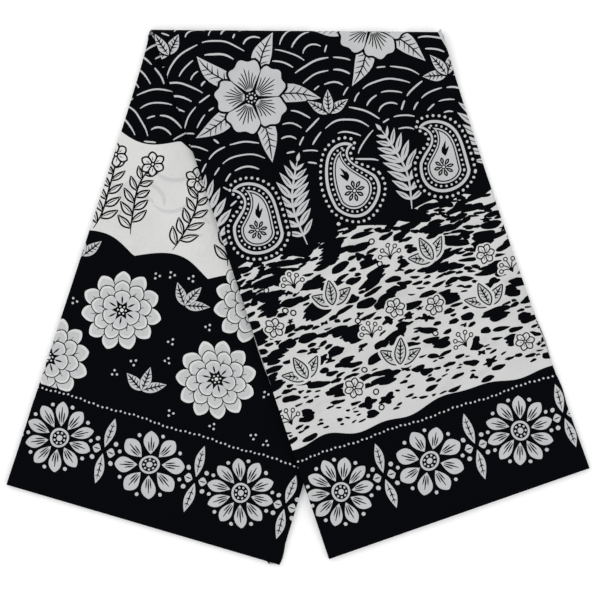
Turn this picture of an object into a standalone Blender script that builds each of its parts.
"""Printed cotton cloth, lapped lengthwise into a strip and turned over once, so that two legs lie flat.

The cloth is one uncut length. It is laid to and fro in laps as wide as the strip, which gives a flat
pack of many layers with folded side edges, and the two selvages make the ends of the pack. The pack is
then turned over at a slant across its middle: the back leg lies on the floor, and the front leg crosses
over it from the turned fold and slopes down beside it to the floor.

+X is right, +Y is away from the hems towards the turned fold, and +Z is up from the floor. The layers
that show are thin walls, and the laps between them share one solid in each stretch, layered at its edge.
"""

import math
from collections import namedtuple

import bmesh
import bpy
from mathutils import Vector

# Driving sizes, in metres
FOLD_LENGTH = 0.3186  # the turned fold, from its left end to its right end
FOLD_FALL = 0.0025  # its right end lies this much nearer the hems
PACK = 0.0060  # one leg's whole thickness, all laps
WALL = 0.0010  # the wall that stands for a lap that shows
GAP = 0.0003  # between solids that lie on each other
SLOPE_RUN = 0.045  # the front leg comes down to the floor over this distance

# A leg's outer edge starts at the end of the fold on its own side, and its inner edge at the other end.
# side is -1 for left and +1 for right. Tilts are in degrees from the -Y axis and lengths in metres.
# The outer edge is pulled in by the bow, deepest near the fold where the skew is small.
Leg = namedtuple(
    "Leg", "side outer_tilt outer_length inner_tilt inner_length bow bow_skew"
)
BACK = Leg(-1, 17.5, 0.5173, 16.8, 0.6046, 0.0036, 0.45)
FRONT = Leg(1, 18.7, 0.4991, 18.5, 0.6065, 0.0038, 0.75)

# The layered edge of the hidden laps: groups of folded edges, one over the other, from the bottom up
GROUP_SLIPS = (0.0007, 0.0015, 0.0009, 0.0013)  # how far in each group has slipped
GROUP_SWAY = 0.0004  # how much the slip comes and goes along the edge
SWAY_LENGTH = 0.045  # and over what length, in metres to a radian
GROUP_ROUND = 0.0005  # how far a group's rounded edge stands out of the groove beside it
GROUP_POINTS = 5  # points on a group's rounded edge

# The corner of a hidden lap that sticks out past the right end of the turned fold
EAR_REACH = 0.0052
EAR_WIDTH = 0.0030

SEGMENTS_DOWN = 14  # the back leg's cells from fold to hem
SEGMENTS_ACROSS = 8  # cells across a leg
OVER_BACK_ROWS = 8  # the front leg's rows on the back leg
SLOPE_ROWS = 7  # its rows on the slope
FLOOR_ROWS = 7  # its rows on the floor
ARC_SEGMENTS = 12  # cells round the turned fold
FOLD_SEGMENTS = 6  # cells along it
EDGE_SAMPLES = 60  # points that stand for an edge while a place on it is looked up

# Sizes that follow from them
CORE = PACK - 2 * WALL - 2 * GAP  # thickness of the hidden laps
FOLD_RADIUS = PACK + GAP / 2  # to the outside of the turned fold
MEAN_TILT = math.radians((BACK.outer_tilt + FRONT.outer_tilt) / 2)
WRAP_SHIFT = math.pi * FOLD_RADIUS * math.tan(MEAN_TILT)  # the strip moves left by this round the fold

# Base colours
INK = (0.011, 0.013, 0.019, 1.0)
LAYERS = (0.085, 0.088, 0.095, 1.0)
CLOTH_ROUGHNESS = 0.86


def smooth(share):
    """An even start and stop between 0 and 1."""
    share = min(max(share, 0.0), 1.0)
    return share * share * (3 - 2 * share)


def fold_point(end, leg):
    """Where the end of the turned fold meets a leg: -1 is the left end and +1 the right end."""
    along = end * FOLD_LENGTH / 2 + leg.side * WRAP_SHIFT / 2
    return Vector((along, -end * FOLD_FALL / 2 - FOLD_RADIUS))


def edge_point(leg, is_outer, share):
    """A place on a leg's side edge, from the fold at 0 to the hem at 1."""
    tilt = math.radians(leg.outer_tilt if is_outer else leg.inner_tilt)
    length = leg.outer_length if is_outer else leg.inner_length
    along = Vector((leg.side * math.sin(tilt), -math.cos(tilt)))
    point = fold_point(leg.side if is_outer else -leg.side, leg) + along * length * share
    if is_outer:
        inward = Vector((-leg.side * math.cos(tilt), -math.sin(tilt)))
        point += inward * leg.bow * math.sin(math.pi * share**leg.bow_skew)
    return point


# The front leg slopes down across lines that run beside the back leg's inner edge.
RIDGE_START = edge_point(BACK, False, 0.0)
RIDGE_ALONG = (edge_point(BACK, False, 1.0) - RIDGE_START).normalized()
RIDGE_ACROSS = Vector((-RIDGE_ALONG.y, RIDGE_ALONG.x))


def past_ridge(point):
    """How far a place lies to the right of the back leg's inner edge."""
    return (point - RIDGE_START).dot(RIDGE_ACROSS)


def back_ground(point):
    """The back leg rests on the floor everywhere."""
    return 0.0


def front_ground(point):
    """Height of the front leg's underside: on the back leg, then down to the floor."""
    return (PACK + GAP) * (1 - smooth(past_ridge(point) / SLOPE_RUN))


def spread(start, stop, count):
    """Places evenly from start to stop, both included."""
    return [start.lerp(stop, k / count) for k in range(count + 1)]


def back_rows():
    """The back leg in plan: rows from the fold to the hem, each from the outer to the inner edge."""
    rows = []
    for down in range(SEGMENTS_DOWN + 1):
        share = down / SEGMENTS_DOWN
        if down == 0:
            share = GAP / BACK.outer_length
        outer, inner = edge_point(BACK, True, share), edge_point(BACK, False, share)
        rows.append(spread(outer, inner, SEGMENTS_ACROSS))
    return rows


def at_distance(samples, distance):
    """The place on a row of samples that lies this far past the ridge."""
    for first, second in zip(samples, samples[1:]):
        low, high = past_ridge(first), past_ridge(second)
        if low <= distance <= high:
            return first.lerp(second, (distance - low) / (high - low))
    return min(samples, key=lambda point: abs(past_ridge(point) - distance))


def front_rows():
    """The front leg in plan: rows beside the ridge, from its left corner to its outer hem corner.

    Each row runs from the fold or the outer edge to the inner edge or the hem, so that the slope is cut
    by many rows and the flat stretches by few.
    """
    shares = [k / EDGE_SAMPLES for k in range(EDGE_SAMPLES + 1)]
    left, right = fold_point(-1, FRONT), fold_point(1, FRONT)
    outer_hem, inner_hem = edge_point(FRONT, True, 1), edge_point(FRONT, False, 1)
    upper = [left.lerp(right, s) for s in shares]
    upper += [edge_point(FRONT, True, s) for s in shares[1:]]
    lower = [edge_point(FRONT, False, s) for s in shares]
    lower += [inner_hem.lerp(outer_hem, s) for s in shares[1:]]

    first, corner = past_ridge(left), past_ridge(right)
    hem, last = past_ridge(inner_hem), past_ridge(outer_hem)
    distances = [first * (1 - k / OVER_BACK_ROWS) for k in range(OVER_BACK_ROWS + 1)]
    distances += [
        corner + (SLOPE_RUN - corner) * k / SLOPE_ROWS for k in range(SLOPE_ROWS + 1)
    ]
    distances += [hem + (last - hem) * k / FLOOR_ROWS for k in range(FLOOR_ROWS + 1)]
    return [
        spread(at_distance(upper, d), at_distance(lower, d), SEGMENTS_ACROSS)
        for d in distances
    ]


def plan_block(rows):
    """The separate places of some rows, and the faces between them; a row may shrink to one place."""
    places, numbers, faces = [], {}, []
    cells = []
    for row in rows:
        cells.append([])
        for point in row:
            key = (round(point.x, 6), round(point.y, 6))
            if key not in numbers:
                numbers[key] = len(places)
                places.append(point)
            cells[-1].append(numbers[key])
    for first, second in zip(cells, cells[1:]):
        for k in range(len(first) - 1):
            corners = (first[k], first[k + 1], second[k + 1], second[k])
            corners = list(dict.fromkeys(corners))
            if len(corners) > 2:
                faces.append(corners)
    return places, faces


def rim_of(faces):
    """The numbers of the places round a block, in order."""
    sides = set()
    for corners in faces:
        sides.update(zip(corners, corners[1:] + corners[:1]))
    follows = {a: b for a, b in sides if (b, a) not in sides}
    rim = [min(follows)]
    while follows[rim[-1]] != rim[0]:
        rim.append(follows[rim[-1]])
    return rim


def material(name, colour):
    """A matt cloth colour."""
    cloth = bpy.data.materials.new(name)
    cloth.use_nodes = True
    shader = cloth.node_tree.nodes["Principled BSDF"]
    shader.inputs["Base Color"].default_value = colour
    shader.inputs["Roughness"].default_value = CLOTH_ROUGHNESS
    shader.inputs["Metallic"].default_value = 0.0
    return cloth


def make_object(name, bm, colour):
    """A named object from a bmesh, with its own material."""
    bmesh.ops.recalc_face_normals(bm, faces=bm.faces)
    mesh = bpy.data.meshes.new(name)
    bm.to_mesh(mesh)
    bm.free()
    mesh.materials.append(material(name, colour))
    piece = bpy.data.objects.new(name, mesh)
    bpy.context.collection.objects.link(piece)
    return piece


def round_fold(point, angle, radius):
    """Where a place on the front leg's end of the fold comes to, this far round and from its middle."""
    return Vector(
        (
            point.x - WRAP_SHIFT * angle / math.pi,
            point.y + radius * math.sin(angle),
            FOLD_RADIUS + radius * math.cos(angle),
        )
    )


def lap_wall(name, rows, ground, rise, turned_rows=0):
    """One lap as a thin wall over a leg; the front leg's turned_rows go on round the turned fold."""
    bm = bmesh.new()
    places, faces = plan_block(rows)
    verts = [bm.verts.new((p.x, p.y, ground(p) + rise)) for p in places]
    for corners in faces:
        bm.faces.new([verts[k] for k in corners])
    if turned_rows:
        arcs = []
        for turn in range(ARC_SEGMENTS + 1):
            angle = math.pi * turn / ARC_SEGMENTS
            arc = [round_fold(row[0], angle, FOLD_RADIUS - WALL) for row in rows[:turned_rows]]
            arc[-1].x -= EAR_WIDTH * math.sin(angle)
            arcs.append([bm.verts.new(place) for place in arc])
        for first, second in zip(arcs, arcs[1:]):
            for k in range(turned_rows - 1):
                bm.faces.new((first[k], first[k + 1], second[k + 1], second[k]))
        bmesh.ops.remove_doubles(bm, verts=bm.verts, dist=1e-6)
    piece = make_object(name, bm, INK)
    if sum(face.normal.z * face.area for face in piece.data.polygons) < 0:
        piece.data.flip_normals()
    wall = piece.modifiers.new("wall", "SOLIDIFY")
    wall.thickness = WALL
    wall.offset = 1.0
    wall.use_even_offset = True
    rim = piece.modifiers.new("worn rim", "BEVEL")
    rim.width = WALL * 0.28
    rim.segments = 1
    rim.limit_method = "ANGLE"
    rim.angle_limit = math.radians(50)
    return piece


def layered_edge(bottom, top, walked=0.0):
    """Pairs of inset and height up a layered edge, rounded in groups with a groove between each two.

    walked is the way along the edge to here, over which the groups slip in and out a little.
    """
    pitch = (top - bottom) / len(GROUP_SLIPS)
    levels = []
    for group, slip in enumerate(GROUP_SLIPS):
        sway = GROUP_SWAY * math.sin(walked / SWAY_LENGTH + 2 * group)
        for k in range(GROUP_POINTS):
            angle = math.pi * k / (GROUP_POINTS - 1)
            inset = slip + sway + GROUP_ROUND * (1 - math.sin(angle))
            height = bottom + pitch * (group + 0.5 - 0.46 * math.cos(angle))
            levels.append((inset, height))
    levels[0] = (levels[0][0], bottom)
    levels[-1] = (levels[-1][0], top)
    return levels


def inward_directions(places, rim, leg):
    """For each place round a leg, the direction into it; along the fold there is none."""
    middle = sum((places[k] for k in rim), Vector((0, 0))) / len(rim)
    left, right = fold_point(-1, leg), fold_point(1, leg)
    fold_along = (right - left).normalized()
    fold_across = Vector((-fold_along.y, fold_along.x))
    directions = []
    for k, number in enumerate(rim):
        here = places[number]
        tangent = (places[rim[(k + 1) % len(rim)]] - places[rim[k - 1]]).normalized()
        normal = Vector((-tangent.y, tangent.x))
        if normal.dot(middle - here) < 0:
            normal = -normal
        if abs((here - left).dot(fold_across)) < 2 * GAP:
            at_end = min((here - left).length, (here - right).length) < 2 * GAP
            toward_middle = math.copysign(1, (middle - here).dot(fold_along))
            normal = fold_along * toward_middle if at_end else Vector((0, 0))
        directions.append(normal)
    return directions


def hidden_laps(name, rows, leg, ground):
    """The laps between those that show, as one solid with a layered rim and a plain end at the fold."""
    places, faces = plan_block(rows)
    rim = rim_of(faces)
    inward = inward_directions(places, rim, leg)
    bottom, top = WALL + GAP, WALL + GAP + CORE
    bm = bmesh.new()
    columns, walked = [], 0.0
    for k, (number, direction) in enumerate(zip(rim, inward)):
        here = places[number]
        walked += (here - places[rim[k - 1]]).length if k else 0.0
        column = []
        for inset, rise in layered_edge(bottom, top, walked):
            place = here + direction * inset
            column.append(bm.verts.new((place.x, place.y, ground(here) + rise)))
        columns.append(column)
    for first, second in zip(columns, columns[1:] + columns[:1]):
        for k in range(len(first) - 1):
            bm.faces.new((first[k], second[k], second[k + 1], first[k + 1]))
    for level, rise in ((0, bottom), (-1, top)):
        verts = {number: column[level] for number, column in zip(rim, columns)}
        for number, place in enumerate(places):
            if number not in verts:
                verts[number] = bm.verts.new((place.x, place.y, ground(place) + rise))
        for corners in faces:
            bm.faces.new([verts[k] for k in corners])
    return make_object(name, bm, LAYERS)


def turned_laps(name):
    """The hidden laps where they turn over: a long half round with layered ends and a slit along it."""
    radius = FOLD_RADIUS - WALL - GAP
    squeeze = 1 - GAP / radius  # leaves the gap between this solid and the legs
    left, right = fold_point(-1, FRONT), fold_point(1, FRONT)
    along = (right - left).normalized()
    ends = layered_edge(GAP / 2, radius)
    outer = [left.lerp(right, k / FOLD_SEGMENTS) for k in range(1, FOLD_SEGMENTS)]
    outer.append(right - along * EAR_WIDTH * 0.9)

    # The outline of the half round's section: place along the fold, distance from its middle, ear
    section = [(left + along * inset, height, 0.0) for inset, height in ends]
    section += [(place, radius, 0.0) for place in outer]
    section += [(right - along * EAR_WIDTH * 0.5, radius, 1.0)]
    section += [(right - along * EAR_WIDTH * 0.2, radius * 0.97, 0.8)]
    section += [(right - along * inset, height, 0.0) for inset, height in reversed(ends[:-1])]
    section += [(place, GAP / 2, 0.0) for place in reversed(outer[:-1])]

    bm = bmesh.new()
    rings = []
    for turn in range(ARC_SEGMENTS + 1):
        angle = math.pi * turn / ARC_SEGMENTS
        ring = []
        for place, height, ear in section:
            at = round_fold(place, angle, height)
            at.y = place.y + GAP + height * squeeze * math.sin(angle)
            at.y += ear * EAR_REACH * math.sin(angle) ** 8
            ring.append(bm.verts.new(at))
        rings.append(ring)
    for lower, upper in zip(rings, rings[1:]):
        for k in range(len(section)):
            after = (k + 1) % len(section)
            bm.faces.new((lower[k], lower[after], upper[after], upper[k]))
    bm.faces.new(rings[0])
    bm.faces.new(rings[-1])
    return make_object(name, bm, LAYERS)


def centre_on_floor(pieces):
    """Move everything so that the middle of its plan is over the origin."""
    depsgraph = bpy.context.evaluated_depsgraph_get()
    points = [
        vertex.co for piece in pieces for vertex in piece.evaluated_get(depsgraph).data.vertices
    ]
    middle = [(min(p[k] for p in points) + max(p[k] for p in points)) / 2 for k in (0, 1)]
    for piece in pieces:
        piece.location = (-middle[0], -middle[1], 0.0)


def build():
    """Both legs and the turned fold between them."""
    for old in list(bpy.data.objects):
        bpy.data.objects.remove(old)
    back, front = back_rows(), front_rows()
    turned_rows = OVER_BACK_ROWS + 2
    top = PACK - WALL
    centre_on_floor(
        [
            lap_wall("back_leg_under_lap", back, back_ground, 0.0),
            hidden_laps("back_leg_inner_laps", back, BACK, back_ground),
            lap_wall("back_leg_top_lap", back, back_ground, top),
            lap_wall("front_leg_under_lap", front, front_ground, 0.0),
            hidden_laps("front_leg_inner_laps", front, FRONT, front_ground),
            lap_wall("front_leg_top_lap", front, front_ground, top, turned_rows),
            turned_laps("turned_fold_inner_laps"),
        ]
    )


build()
